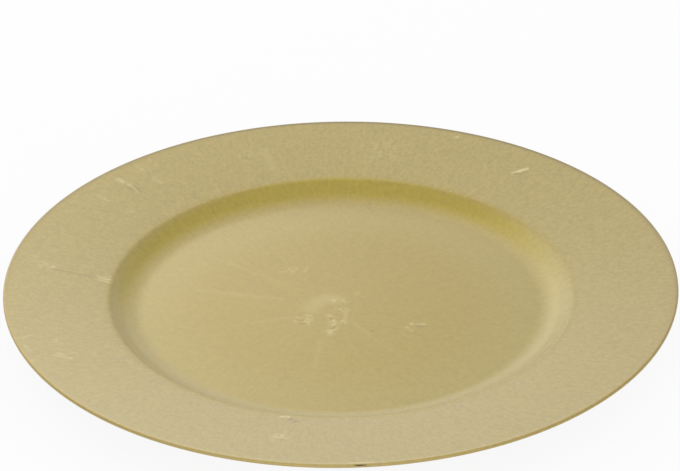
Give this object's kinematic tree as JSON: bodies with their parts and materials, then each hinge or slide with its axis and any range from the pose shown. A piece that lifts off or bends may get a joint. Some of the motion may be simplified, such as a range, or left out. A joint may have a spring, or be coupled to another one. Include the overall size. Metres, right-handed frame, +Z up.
{
  "type": "charger plate",
  "caption": "Round charger plate with a wide sloping rim, a shallow well and a foot ring, moulded, faced with gold metal leaf and sealed with satin lacquer, that sits under a dinner plate.",
  "frame": {"origin": "on the axis of the plate, at the table that its foot ring stands on", "axes": "+Z up along the axis of the plate, out of the well"},
  "size_m": [0.33, 0.33, 0.0212],
  "materials": {
    "moulding": "dark brown polypropylene, fine matt from the mould",
    "leaf": "champagne gold metal leaf with fine creases that run out from the centre",
    "lacquer": "clear satin lacquer"
  },
  "bodies": {
    "root": {"moulded_plate": "moulding", "leaf_face": "leaf", "clear_lacquer": "lacquer"}
  },
  "joints": []
}
